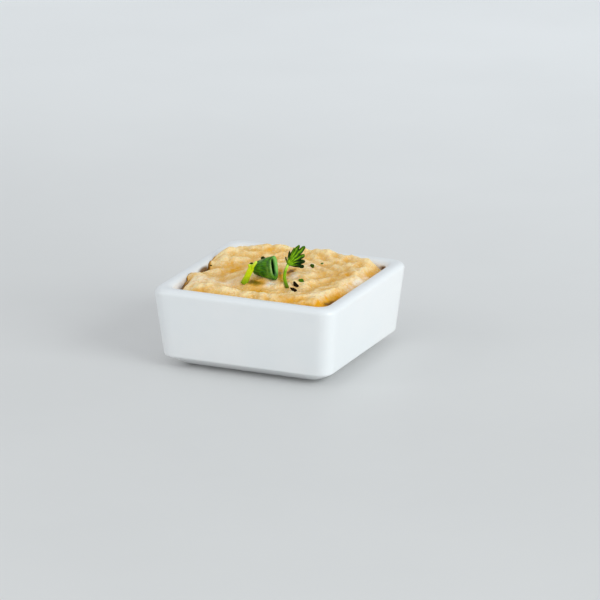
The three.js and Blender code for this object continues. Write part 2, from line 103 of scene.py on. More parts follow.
class Shader:
    """A principled material whose inputs are fed by small named steps."""

    def __init__(self, name: str) -> None:
        """Starts an empty material.

        Args:
            name: The material's name.
        """
        self.material = bpy.data.materials.new(name)
        self.material.use_nodes = True
        self.tree = self.material.node_tree
        self.surface = self.tree.nodes["Principled BSDF"]
        self.place = self._step("TexCoord", "Object", {})

    def _feed(self, socket: Socket, value: object) -> None:
        """Links a socket to an input, or sets a plain value on it.

        Args:
            socket: The input.
            value: An output socket, a number or a colour.
        """
        if isinstance(value, Socket):
            self.tree.links.new(value, socket)
        elif isinstance(value, tuple) and len(value) == 3 and len(socket.default_value) == 4:
            socket.default_value = (*value, 1.0)
        else:
            socket.default_value = value

    def _step(self, kind: str, output: str | int, values: dict, **settings: str) -> Socket:
        """Adds a node.

        Args:
            kind: Its type.
            output: Name or number of the output wanted.
            values: What each named or numbered input gets.
            **settings: Its settings.

        Returns:
            That output.
        """
        node = self.tree.nodes.new("ShaderNode" + kind)
        for name, setting in settings.items():
            setattr(node, name, setting)
        for name, value in values.items():
            self._feed(node.inputs[name], value)
        return node.outputs[output]

    def set(self, **values: object) -> None:
        """Sets inputs of the principled shader by name, with _ for each space."""
        for name, value in values.items():
            self._feed(self.surface.inputs[name.replace("_", " ")], value)

    def stretched(self, scale: Point) -> Socket:
        """Gives the object's coordinates scaled along each axis."""
        return self._step("Mapping", "Vector", {"Vector": self.place, "Scale": scale})

    def off(self, middle: Point, reach: Point) -> Socket:
        """Gives how far a place is off a middle.

        Args:
            middle: The middle in millimetres.
            reach: Distance along x, y and z that counts as 1, in millimetres.

        Returns:
            The distance.
        """
        scale = [1 / (size * MM) for size in reach]
        shift = [-at / size for at, size in zip(middle, reach)]
        moved = self._step("Mapping", "Vector",
                           {"Vector": self.place, "Scale": scale, "Location": shift})
        return self._step("VectorMath", "Value", {0: moved}, operation="LENGTH")

    def noise(self, size: float, detail: float = 3, roughness: float = 0.55,
              at: Socket | None = None, warp: float = 0.0) -> Socket:
        """Makes cloudy noise.

        Args:
            size: Size of its largest blotches in millimetres.
            detail: Number of finer layers.
            roughness: Strength of the finer layers.
            at: Coordinates to read it at, or None for the object's own.
            warp: How far it is distorted.

        Returns:
            The noise, about 0.2 to 0.8.
        """
        return self._step("TexNoise", "Fac", {
            "Vector": at or self.place, "Scale": 1 / (size * MM), "Detail": detail,
            "Roughness": roughness, "Distortion": warp})

    def cells(self, size: float) -> Socket:
        """Gives the distance to points scattered at a spacing in millimetres."""
        return self._step("TexVoronoi", "Distance",
                          {"Vector": self.place, "Scale": 1 / (size * MM)})

    def depth_from_front(self) -> Socket:
        """Gives the distance towards +Y in metres."""
        return self._step("SeparateXYZ", "Y", {"Vector": self.place})

    def layer(self, layer: Layer) -> Socket:
        """Reads a value stored at the mesh's points."""
        return self._step("Attribute", "Fac", {}, attribute_name=layer.value)

    def between(self, value: Socket, low: float, high: float,
                start: float = 0.0, end: float = 1.0) -> Socket:
        """Maps a value smoothly from one range to another.

        Args:
            value: The value.
            low: Where the range starts.
            high: Where the range ends.
            start: The result at and below low.
            end: The result at and above high.

        Returns:
            The mapped value.
        """
        return self._step("MapRange", "Result", {
            "Value": value, "From Min": low, "From Max": high, "To Min": start, "To Max": end,
        }, interpolation_type="SMOOTHSTEP")

    def mix(self, share: object, first: object, second: object) -> Socket:
        """Mixes two colours, numbers or sockets, with a share of the second."""
        return self._step("Mix", 2, {"Factor": share, 6: first, 7: second}, data_type="RGBA")

    def sum(self, *parts: tuple[float, Socket]) -> Socket:
        """Adds up values.

        Args:
            *parts: Pairs of weight and value.

        Returns:
            The weighted sum.
        """
        total = 0.0
        for weight, value in parts:
            total = self._step("Math", 0, {0: value, 1: weight, 2: total},
                               operation="MULTIPLY_ADD")
        return total

    def bump(self, height: Socket, depth: float, strength: float) -> None:
        """Roughens the surface by a height, 0 to 1, over a depth in millimetres."""
        self.set(Normal=self._step("Bump", "Normal", {
            "Height": height, "Distance": depth * MM, "Strength": strength}))


@dataclass(frozen=True)
class Porcelain:
    """Clear glossy glaze over a white body; its inside is painted a brighter white (painted
    light against the shade of the hummus), its lip a duller one (painted shade), and it has two
    dark marks inside: a smear of paste by the left wall and painted shade in the back right
    corner.
    """

    white: Colour = linear(238, 238, 238)
    cool: Colour = linear(234, 236, 237)
    # Painted light: the inside is painted a brighter white than the body, against the shade the
    # hummus casts on it.
    inside: Colour = linear(250, 252, 254)
    # Painted shade: the lip's top is painted a duller white.
    lip: Colour = linear(230, 232, 234)
    # A dark stain colour for two marks inside: a smear of paste by the left wall, and painted
    # shade in the back right corner.
    oil_and_shade: Colour = linear(104, 66, 4)
    smears_and_shade: tuple[tuple[Point, Point], ...] = (
        ((-38.0, -1.6, 35.4), (2.5, 8.0, 2.4)),
        ((35.4, 36.2, 34.6), (4.0, 3.5, 2.0)),
    )
    roughness: float = 0.28

    def build(self) -> Material:
        """Makes the material.

        Returns:
            The glaze, which reads the inside and lip layers for its painted light and painted
            shade.
        """
        shader = Shader("porcelain_glaze")
        clouds = shader.between(shader.noise(30), *NOISE_SPAN)
        body = shader.mix(clouds, self.white, self.cool)
        # Painted light: brighter white inside the dish.
        body = shader.mix(shader.layer(Layer.INSIDE), body, self.inside)
        # Painted shade: duller white on the lip.
        body = shader.mix(shader.layer(Layer.LIP), body, self.lip)
        # The first mark is a smear of paste, the second painted shade in the back right corner.
        for middle, reach in self.smears_and_shade:
            share = shader.between(shader.off(middle, reach), 0.35, 1.0, 0.95, 0.0)
            body = shader.mix(share, body, self.oil_and_shade)
        shader.set(
            Base_Color=body,
            Roughness=self.roughness,
            IOR=1.5,
            Subsurface_Weight=0.06,
            Subsurface_Scale=0.002,
            Subsurface_Radius=(1.0, 0.95, 0.9),
        )
        return shader.material


@dataclass(frozen=True)
class HummusPaste:
    """Moist, slightly grainy chickpea paste, golden where it is thin or oiled, with painted
    shade in its hollows, along the walls and under the herbs, and painted highlights on crests
    that face the light.
    """

    cream: Colour = linear(254, 225, 170)
    pale: Colour = linear(254, 234, 208)
    highlight_cream: Colour = linear(255, 244, 230)
    tan: Colour = linear(232, 184, 104)
    gold: Colour = linear(232, 164, 24)
    amber_stain_and_shade: Colour = linear(126, 82, 2)
    olive_damp_and_shade: Colour = linear(124, 100, 8)
    grain: float = 1.3

    def build(self) -> Material:
        """Makes the material.

        Returns:
            The paste, which reads the layers of hollows (for painted shade), gold patches (oiled
            paste and painted light), painted highlights, the dark edge and the wet patches
            (stains with painted shade).
        """
        shader = Shader("hummus_paste")
        clouds = shader.noise(6.5, roughness=0.5, warp=0.4)
        # Painted shade: the tan deepens in the hollows, blended with random clouds.
        tone = shader.sum((0.7, shader.layer(Layer.HOLLOW_SHADE)), (0.8, clouds))
        body = shader.mix(shader.between(tone, 0.45, 1.0), self.cream, self.tan)
        blotches = shader.between(shader.noise(5, 2, warp=0.6), 0.5, 0.66, 0.0, 0.34)
        body = shader.mix(blotches, body, self.gold)
        grains = shader.between(shader.cells(self.grain), 0.1, 0.4, 0.4, 0.0)
        body = shader.mix(grains, body, self.pale)
        # Painted highlights: paler cream on crests and slopes that face the light.
        body = shader.mix(shader.layer(Layer.PAINTED_HIGHLIGHTS), body, self.highlight_cream)
        # Gold of oiled paste, in places painted shade or a painted highlight.
        body = shader.mix(shader.layer(Layer.OIL_AND_PAINTED_LIGHT), body, self.gold)
        specks = shader.between(shader.noise(1.1, 2), 0.56, 0.7, 0.0, 0.45)
        body = shader.mix(specks, body, self.gold)
        # Both stains carry painted shade: the wet marks under the garnish, and the dark edge in
        # the crevices by the walls and under the leaf.
        for layer, stain in ((Layer.DAMP_AND_SHADE, self.olive_damp_and_shade), (Layer.EDGE_STAIN_AND_SHADE, self.amber_stain_and_shade)):
            share = shader.layer(layer)
            body = shader.mix(shader.between(share, 0.0, 0.5, 0.0, 0.8), body, self.gold)
            body = shader.mix(shader.between(share, 0.25, 0.9), body, stain)
        shader.set(
            Base_Color=body,
            Roughness=shader.between(clouds, *NOISE_SPAN, 0.38, 0.58),
            IOR=1.42,
            Specular_IOR_Level=0.15,
            Subsurface_Weight=0.2,
            Subsurface_Scale=0.0012,
            Subsurface_Radius=(1.0, 0.6, 0.3),
        )
        relief = shader.sum((0.5, shader.noise(1.5, 4, 0.65)), (0.3, shader.noise(0.5, 2)),
                            (-0.4, shader.cells(self.grain)))
        shader.bump(relief, 0.9, 0.7)
        return shader.material


@dataclass(frozen=True)
class OnionSkin:
    """Waxy spring onion leaf: deep green outside, pale at its cut rim, with painted highlights
    on its skin and the left of its rim, and painted shade inside its bore.
    """

    deep: Colour = linear(28, 80, 12)
    mid: Colour = linear(82, 144, 10)
    # Painted shade: dark green inside the bore.
    hollow: Colour = linear(14, 58, 10)
    rim: Colour = linear(126, 190, 92)
    # Painted highlight colour.
    painted_sheen: Colour = linear(150, 186, 104)

    def build(self) -> Material:
        """Makes the material.

        Returns:
            The skin, which reads the rim layer, the layer of painted highlights and the inside
            layer for the painted shade in the bore.
        """
        shader = Shader("onion_skin")
        veins = shader.noise(0.7, roughness=0.6, at=shader.stretched((0.15, 1.0, 1.0)))
        clouds = shader.noise(3.0)
        share = shader.between(shader.sum((0.6, veins), (0.6, clouds)), 0.45, 0.75)
        body = shader.mix(share, self.deep, self.mid)
        for layer, colour in ((Layer.PAINTED_SHEEN, self.painted_sheen), (Layer.INSIDE, self.hollow),
                              (Layer.RIM, self.rim)):
            body = shader.mix(shader.layer(layer), body, colour)
        shader.set(
            Base_Color=body,
            Roughness=shader.between(clouds, *NOISE_SPAN, 0.2, 0.36),
            Subsurface_Weight=0.1,
            Subsurface_Scale=0.0008,
            Specular_IOR_Level=0.15,
            Coat_Weight=0.06,
            Coat_Roughness=0.12,
        )
        shader.bump(veins, 0.2, 0.6)
        return shader.material


@dataclass(frozen=True)
class StalkSkin:
    """Fresh fibrous stalk that pales from its foot to its tips."""

    name: str
    foot: Colour
    middle: Colour
    tip: Colour

    def build(self) -> Material:
        """Makes the material.

        Returns:
            The skin, which reads the reach layer, 0 at the foot.
        """
        shader = Shader(self.name)
        reach = shader.layer(Layer.REACH)
        fibres = shader.noise(0.5, at=shader.stretched((1.0, 0.25, 0.35)))
        body = shader.mix(shader.between(reach, 0.05, 0.5), self.foot, self.middle)
        body = shader.mix(shader.between(reach, 0.72, 1.0, 0.0, 0.9), body, self.tip)
        body = shader.mix(shader.between(fibres, 0.5, 0.72, 0.0, 0.5), body, self.foot)
        shader.set(
            Base_Color=body,
            Roughness=shader.between(fibres, *NOISE_SPAN, 0.3, 0.46),
            Specular_IOR_Level=0.14,
            Subsurface_Weight=0.2,
            Subsurface_Scale=0.001,
        )
        shader.bump(fibres, 0.15, 0.6)
        return shader.material


@dataclass(frozen=True)
class LeafSkin:
    """Herb leaf: bright along its veins; the shade layer darkens it, as painted shade on the
    parsley leaf's folds and turned-away fingers, and as each herb flake's own darker colour.
    """

    name: str
    bright: Colour
    green: Colour
    dark: Colour
    roughness: float = 0.42
    shine: float = 0.08

    def build(self) -> Material:
        """Makes the material.

        Returns:
            The skin, which reads the vein and shade layers.
        """
        shader = Shader(self.name)
        clouds = shader.noise(2.0)
        body = shader.mix(shader.layer(Layer.VEIN), self.green, self.bright)
        body = shader.mix(shader.between(clouds, 0.42, 0.66, 0.0, 0.6), body, self.dark)
        body = shader.mix(shader.layer(Layer.SHADE), body, self.dark)
        shader.set(
            Base_Color=body,
            Roughness=shader.between(clouds, *NOISE_SPAN, self.roughness, self.roughness + 0.2),
            Specular_IOR_Level=self.shine,
            Subsurface_Weight=0.15,
            Subsurface_Scale=0.0005,
        )
        shader.bump(shader.noise(0.6), 0.12, 0.5)
        return shader.material


@dataclass(frozen=True)
class TableTop:
    """Pale, satin studio surface, brightened towards the back with painted light."""

    near: Colour = linear(222, 221, 220)
    far: Colour = linear(252, 253, 254)
    dull: Colour = linear(196, 196, 196)

    def build(self) -> Material:
        """Makes the material.

        Returns:
            The surface.
        """
        shader = Shader("table_top")
        # Painted light: the table is painted brighter towards the back.
        painted_light_towards_back = shader.between(shader.depth_from_front(), -0.1, 0.75)
        body = shader.mix(painted_light_towards_back, self.near, self.far)
        clouds = shader.between(shader.noise(260), *NOISE_SPAN, 0.0, 0.12)
        shader.set(
            Base_Color=shader.mix(clouds, body, self.dull),
            Roughness=shader.between(shader.noise(40), *NOISE_SPAN, 0.4, 0.5),
            Specular_IOR_Level=0.35,
        )
        return shader.material


# ---- mesh helpers


def make_piece(name: str, points: Array, faces: list, material: Material,
               layers: dict[Layer, Array]) -> Piece:
    """Makes a smooth mesh object that rides on the dish's only body.

    Args:
        name: The piece's name.
        points: Points in millimetres, one row each.
        faces: Point numbers of each face.
        material: Its material.
        layers: Values for the points in order, where 0 goes to any left over.

    Returns:
        The new object.
    """
    mesh = bpy.data.meshes.new(name)
    mesh.from_pydata((points * MM).tolist(), [], [list(face) for face in faces])
    mesh.validate()
    for layer, values in layers.items():
        stored = np.zeros(len(points), dtype=np.float32)
        stored[:np.size(values)] = np.clip(values, 0, 1).ravel()
        mesh.attributes.new(layer.value, "FLOAT", "POINT").data.foreach_set("value", stored)
    mesh.polygons.foreach_set("use_smooth", [True] * len(mesh.polygons))
    mesh.materials.append(material)
    mesh.update()
    piece = bpy.data.objects.new(name, mesh)
    bpy.context.scene.collection.objects.link(piece)
    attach(piece, ROOT)
    return piece


def ring(row: int, columns: int, start: int = 0) -> list[int]:
    """Numbers the points of one row of a mesh whose rows begin at a start."""
    return list(range(start + row * columns, start + (row + 1) * columns))


def band(low: list[int], high: list[int]) -> list:
    """Lists the quads between two loops of points."""
    return list(zip(low, low[1:] + low[:1], high[1:] + high[:1], high))


def tube(rows: int, columns: int) -> list:
    """Lists the quads of loops of points stored row by row."""
    return [quad for row in range(rows - 1)
            for quad in band(ring(row, columns), ring(row + 1, columns))]


def fan(loop: list[int], tip: int) -> list:
    """Lists the triangles from a loop of points to a tip."""
    return [(a, b, tip) for a, b in zip(loop, loop[1:] + loop[:1])]


def capped(rows: int, columns: int) -> list:
    """Lists the faces of a tube closed by two tips, which are stored after its points."""
    return (tube(rows, columns) + fan(ring(0, columns)[::-1], rows * columns)
            + fan(ring(rows - 1, columns), rows * columns + 1))


def circle(count: int) -> Array:
    """Lists evenly spaced angles once round, in radians."""
    return np.linspace(0, 2 * math.pi, count, endpoint=False)


def turned(points: Array, heading: float, pitch: float = 0, lean: float = 0) -> Array:
    """Turns points about Z, after a pitch about Y and a lean about X.

    Args:
        points: The points, one row each.
        heading: Degrees about Z.
        pitch: Degrees about Y.
        lean: Degrees about X.

    Returns:
        The turned points.
    """
    turn = Matrix.Identity(3)
    for angle, axis in ((heading, "Z"), (pitch, "Y"), (lean, "X")):
        turn = turn @ Matrix.Rotation(math.radians(angle), 3, axis)
    return points @ np.array(turn).T


def value_noise(x: Array, y: Array, size: float, seed: int) -> Array:
    """Reads smooth random hills on a plane.

    Args:
        x: Places along x in millimetres.
        y: Places along y in millimetres.
        size: Spacing of the hills in millimetres.
        seed: Seed of the draw.

    Returns:
        Heights, about -1 to 1.
    """
    lattice = np.random.default_rng(seed).uniform(-1, 1, (LATTICE, LATTICE))
    across, along = x / size + LATTICE / 4, y / size + LATTICE / 4
    column, row = np.floor(across).astype(int), np.floor(along).astype(int)
    u, v = smoothstep(across - column, 0, 1), smoothstep(along - row, 0, 1)
    column, row = column % (LATTICE - 1), row % (LATTICE - 1)
    low = lattice[row, column] * (1 - u) + lattice[row, column + 1] * u
    high = lattice[row + 1, column] * (1 - u) + lattice[row + 1, column + 1] * u
    return low * (1 - v) + high * v


# ---- the dish


@dataclass
class SquareDish:
    """Tapered square dish with a rounded lip and a small recessed foot."""

    rim_side: float = 90
    height: float = 38
    corner_radius: float = 6.2
    lip_thickness: float = 6.9
    lip_outer_radius: float = 2.6
    lip_inner_radius: float = 3.0
    wall_base_half: float = 41.6
    wall_base_height: float = 5.8
    underside_half: float = 34.0
    foot_height: float = 1.2
    foot_half: float = 31.0
    foot_ring_width: float = 4
    foot_recess: float = 0.6
    floor_height: float = 6
    floor_half: float = 34.4
    inner_wall_base_half: float = 36.6
    inner_wall_base_height: float = 10
    side_steps: int = 36
    arc_steps: int = 8

    @property
    def inner_half(self) -> float:
        """Half side of the opening."""
        return self.rim_side / 2 - self.lip_thickness

    def inner_wall_half(self, height: Array) -> Array:
        """Half side of the inside, along its wall and its lip's rounding.

        Args:
            height: Heights above the table.

        Returns:
            Half sides.
        """
        rise = self.height - self.inner_wall_base_height
        share = (height - self.inner_wall_base_height) / rise
        wall = self.inner_wall_base_half + share * (self.inner_half - self.inner_wall_base_half)
        radius = self.lip_inner_radius
        above = np.clip(height - (self.height - radius), 0, radius)
        return wall + radius - np.sqrt(radius ** 2 - above ** 2)

    def side_point(self, along: Array) -> tuple[Array, Array]:
        """Follows one side of a rounded square of half side 1 from corner to corner.

        Args:
            along: Share of the way from the side's middle, -1 to 1.

        Returns:
            Distance out from the middle, and distance along the side.
        """
        radius = self.corner_radius / (self.rim_side / 2)
        straight = 1 - radius
        reach = np.abs(along) * (straight + radius * math.pi / 4)
        angle = np.clip((reach - straight) / radius, 0, math.pi / 4)
        on_arc = reach > straight
        out = np.where(on_arc, straight + radius * np.cos(angle), 1.0)
        side = np.where(on_arc, straight + radius * np.sin(angle), reach)
        return out, side * np.sign(along)

    def spread(self, square: Array) -> Array:
        """Maps a square from -1 to 1 onto the rounded square of half side 1.

        Args:
            square: Points of the square, one row each.

        Returns:
            The mapped points.
        """
        p, q = square.T
        reach, wide = np.abs(square).max(axis=1), np.abs(p) >= np.abs(q)
        out, side = self.side_point(np.where(wide, q, p) / np.maximum(reach, 1e-9))
        x, y = np.where(wide, np.sign(p) * out, side), np.where(wide, side, np.sign(q) * out)
        return np.column_stack([x * reach, y * reach])

    def outline(self) -> Array:
        """Draws a rounded square of half side 1.

        Returns:
            Its points, anticlockwise from a corner.
        """
        steps = np.linspace(-1, 1, self.side_steps, endpoint=False)
        quarters = [np.column_stack(self.side_point(steps))]
        for _ in range(3):
            last = quarters[-1]
            quarters.append(np.column_stack([-last[:, 1], last[:, 0]]))
        return np.concatenate(quarters)

    def _corners(self) -> list[Point]:
        """Lists the corners of the section.

        Returns:
            Half side, height and rounding of each.
        """
        foot_inner = self.foot_half - self.foot_ring_width
        return [
            (0, self.foot_recess, 0),
            (foot_inner - self.foot_recess, self.foot_recess, 0.5),
            (foot_inner, 0, 0.25),
            (self.foot_half, 0, 0.25),
            (self.foot_half, self.foot_height, 0.2),
            (self.underside_half, self.foot_height, 0.4),
            (self.wall_base_half, self.wall_base_height, 1.5),
            (self.rim_side / 2, self.height, self.lip_outer_radius),
            (self.inner_half, self.height, self.lip_inner_radius),
            (self.inner_wall_base_half, self.inner_wall_base_height, 2.5),
            (self.floor_half, self.floor_height, 3.0),
            (0, self.floor_height, 0),
        ]

    def _section(self) -> Array:
        """Rounds the section's corners.

        Returns:
            Its points, from axis to axis.
        """
        corners = self._corners()
        points = [corners[0][:2]]
        for before, (x, z, radius), after in zip(corners, corners[1:], corners[2:]):
            corner = Vector((x, z))
            back = (Vector(before[:2]) - corner).normalized()
            ahead = (Vector(after[:2]) - corner).normalized()
            half_angle = back.angle(ahead) / 2
            reach = radius / math.tan(half_angle)
            centre = corner + (back + ahead).normalized() * radius / math.sin(half_angle)
            start = corner + back * reach - centre
            turn = start.angle_signed(corner + ahead * reach - centre)
            for step in range(self.arc_steps + 1):
                spoke = Matrix.Rotation(-turn * step / self.arc_steps, 2) @ start
                points.append(tuple(centre + spoke))
        points.append(corners[-1][:2])
        return np.array(points)

    def build(self, material: Material) -> Piece:
        """Makes the dish and lets it stand for its solid.

        Args:
            material: The glaze.

        Returns:
            The dish.
        """
        outline, section = self.outline(), self._section()
        points = [np.column_stack([outline * half, np.full(len(outline), z)])
                  for half, z in section[1:-1]]
        faces = capped(len(points), len(outline))
        points = np.concatenate(points + [[[0, 0, section[0][1]], [0, 0, section[-1][1]]]])
        half = np.abs(points[:, :2]).max(axis=1)
        # These layers give the inside its painted light and the lip its painted shade.
        within = (half < self.inner_half) & (points[:, 2] > self.floor_height - 0.01)
        # The lip gets painted shade from this layer.
        lip = smoothstep(points[:, 2], self.height - self.lip_inner_radius, self.height)
        dish = make_piece("dish_porcelain", points, faces, material,
                          {Layer.INSIDE: within, Layer.LIP: lip})
        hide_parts("dish")
        return dish


# ---- the hummus


@dataclass(frozen=True)
class Oval:
    """A smooth oval hill: a mound or hollow that the spoon left, or a patch of colour."""

    name: str
    x: float
    y: float
    along: float
    across: float
    heading: float
    rise: float

    def height(self, x: Array, y: Array) -> Array:
        """Height that it adds.

        Args:
            x: Places along x.
            y: Places along y.

        Returns:
            Heights in millimetres, or strengths of the colour.
        """
        cos, sin = math.cos(math.radians(self.heading)), math.sin(math.radians(self.heading))
        along = ((x - self.x) * cos + (y - self.y) * sin) / self.along
        across = ((y - self.y) * cos - (x - self.x) * sin) / self.across
        return self.rise * np.exp(-along * along - across * across)


def patches(x: Array, y: Array, ovals: tuple[Oval, ...]) -> Array:
    """Adds up soft patches of colour, whose rise is their strength, up to 1."""
    return np.clip(sum(oval.height(x, y) for oval in ovals), 0, 1)


@dataclass(frozen=True)
class Wave:
    """A sine over the plane: its radians per millimetre along x and y, and where it starts."""

    x: float
    y: float
    start: float = 0

    def at(self, x: Array, y: Array) -> Array:
        """Values at places, -1 to 1."""
        return np.sin(self.x * x + self.y * y + self.start)


@dataclass
class SwirledSurface:
    """Height of the top of the hummus, as the solid model has it."""

    dish: SquareDish
    wall_level: float = 36.6
    crown: float = 2.5
    shoulder: float = 7
    back_from: float = 20
    back_to: float = 40
    back_rise: float = 0.5
    swirl_x: float = -1
    swirl_y: float = -3
    swirl_radius: float = 24
    swirl_width: float = 6.5
    swirl_depth: float = 2.4
    swirl_mean: float = 0.68
    swirl_bias: float = 0.32
    ridge_height: float = 0.3
    ridge_wave: float = 0.9
    wander: tuple[tuple[float, Wave], ...] = (
        (2.2, Wave(0.11, 0.19, 0.6)), (1.3, Wave(0.23, -0.14, 2.1)))
    dimple_depth: float = 0.3
    dimples: tuple[tuple[float, Wave, Wave], ...] = (
        (1, Wave(0.42, 0, 1.2), Wave(-0.12, 0.37)),
        (0.7, Wave(0.71, -0.33), Wave(0.28, 0.63, 1.7)),
    )
    features: tuple[Oval, ...] = (
        Oval("mound under the garnish", 0, -8, 14, 9, 20, 1.5),
        Oval("left trough", -23, -3, 9, 6, 70, -0.9),
        Oval("right trough", 24, 1, 14, 7, 105, -0.8),
        Oval("left spoon ridge", -27, 9, 9, 2.6, 40, 0.8),
        Oval("back left lobe", -35.3, 15.2, 10.3, 4.5, 60, 3.6),
        Oval("lobe behind the left spoon ridge", -21, 29, 8, 5, 30, 2.3),
        Oval("end of that lobe", -17, 30.6, 5, 3.5, 60, -0.4),
        Oval("back ridge", 1, 33.5, 16, 5, 4, 2.1),
        Oval("back ridge's right end", 10.6, 33.6, 2.6, 4, 0, 1.1),
        Oval("back right shelf", 25.5, 31, 12, 6, 0, 0.9),
        Oval("right ridge", 33.2, 9, 13, 3.2, 90, 1.0),
        Oval("front right knoll", 29.5, -27.4, 7, 5, 20, 1.1),
        Oval("front ridge", -4, -32.8, 24, 3.5, 0, 0.7),
        Oval("front left lobe", -36.6, -14.9, 3.8, 7.5, 20, 2.0),
        Oval("flat right of that lobe", -31.2, -9.3, 5.3, 6, 0, -2.8),
        Oval("sag along the left wall", -44.7, -6, 32, 6, 90, -2.3),
        Oval("notch by the left wall", -34.7, 1.6, 6.4, 3.2, 20, -3.6),
        Oval("hollow by the left wall", -40.2, -37.7, 9.9, 9, 90, -8.0),
        Oval("back left hollow", -40.5, 24.8, 12, 3.1, 90, -4.4),
        Oval("back left corner", -35.6, 35.6, 13, 7, 10, -1.7),
        Oval("back right corner", 39.6, 38.5, 9.5, 9, 90, -5.6),
        Oval("crack by the right wall", 36, -23.5, 13, 2.2, 90, -2.4),
    )

    def height(self, x: Array, y: Array) -> Array:
        """Height above the table.

        Args:
            x: Places along x.
            y: Places along y.

        Returns:
            Heights in millimetres.
        """
        wall_distance = self.dish.inner_half - np.maximum(np.abs(x), np.abs(y))
        dx, dy = x - self.swirl_x, y - self.swirl_y
        radius, turn = np.hypot(dx, dy), np.arctan2(dy, dx)
        back_shallow = self.swirl_mean - self.swirl_bias * np.sin(turn)
        height = self.wall_level + self.crown * smoothstep(wall_distance, 0, self.shoulder)
        height = height + smoothstep(y, self.back_from, self.back_to) * self.back_rise
        trough = bell(radius, self.swirl_radius, self.swirl_width)
        height = height - self.swirl_depth * back_shallow * trough
        wander = sum(size * wave.at(x, y) for size, wave in self.wander)
        strength = (0.6 + 0.4 * np.sin(turn + 0.8)) * smoothstep(radius, 8, 16)
        ridges = strength * np.sin(self.ridge_wave * (radius + wander))
        height = height + self.ridge_height * ridges
        dimples = sum(size * one.at(x, y) * other.at(x, y) for size, one, other in self.dimples)
        height = height + self.dimple_depth * dimples
        return sum((oval.height(x, y) for oval in self.features), height)

    def level(self, x: float, y: float) -> float:
        """Height above the table at one place."""
        return float(self.height(np.array(x), np.array(y)))


